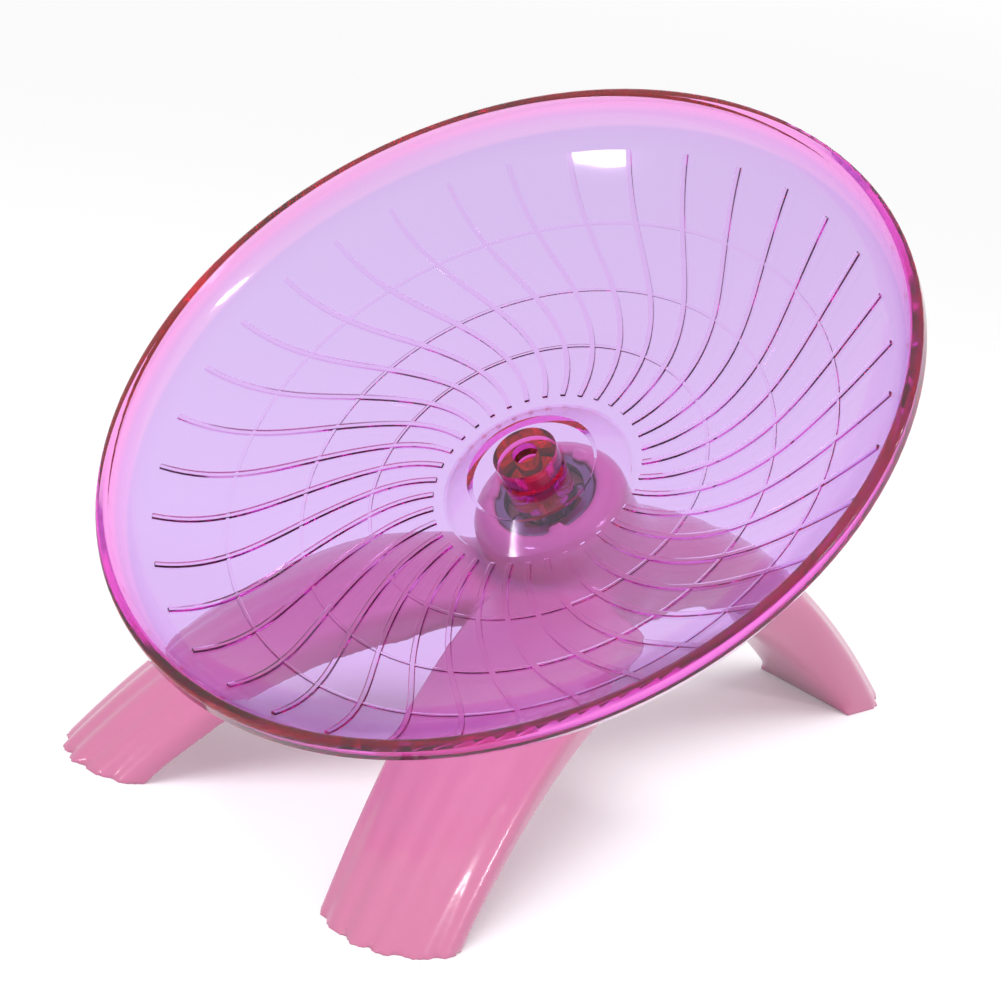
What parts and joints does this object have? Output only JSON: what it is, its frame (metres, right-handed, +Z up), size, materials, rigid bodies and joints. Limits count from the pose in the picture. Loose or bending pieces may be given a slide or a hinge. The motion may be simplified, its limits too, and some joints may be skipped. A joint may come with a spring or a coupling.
{
  "type": "flying saucer hamster wheel",
  "caption": "Clear ribbed dish that spins on a leaning ball bearing, carried by a moulded stand on three fluted legs.",
  "frame": {"origin": "on the plane that the three feet stand on, below the middle of the object's box; the middle of the dish's floor is 70 mm above the ground and 18.6 mm towards -Y of the origin", "axes": "+Z up; -Y is the low side that the dish leans towards, +Y points along the back leg, +X to the right when looking along +Y"},
  "size_m": [0.18, 0.2106, 0.1457],
  "materials": {
    "clear_lilac": "clear polished",
    "pink_plastic": "gloss",
    "brass": "satin",
    "steel": "satin",
    "bearing_steel": "polished"
  },
  "bodies": {
    "stand": {"stand": "pink_plastic", "outer_race": "bearing_steel"},
    "dish": {"saucer": "clear_lilac", "axle_pin": "brass", "axle_washer": "steel", "axle_screw": "steel", "inner_race": "bearing_steel"},
    "balls": {"ball_cage": "brass", "ball_1": "bearing_steel", "ball_2": "bearing_steel", "ball_3": "bearing_steel", "ball_4": "bearing_steel", "ball_5": "bearing_steel", "ball_6": "bearing_steel", "ball_7": "bearing_steel"}
  },
  "joints": [
    {"name": "saucer_spin", "type": "hinge", "parent": "stand", "child": "dish", "pos_m": [0, -0.0186, 0.07], "axis": [0, -0.6157, 0.788], "continuous": true},
    {"name": "balls_orbit", "type": "hinge", "parent": "stand", "child": "balls", "pos_m": [0, -0.0186, 0.07], "axis": [0, -0.6157, 0.788], "continuous": true}
  ],
  "couplings": [
    {"joint": "balls_orbit", "follows": "saucer_spin", "ratio": 0.368}
  ]
}
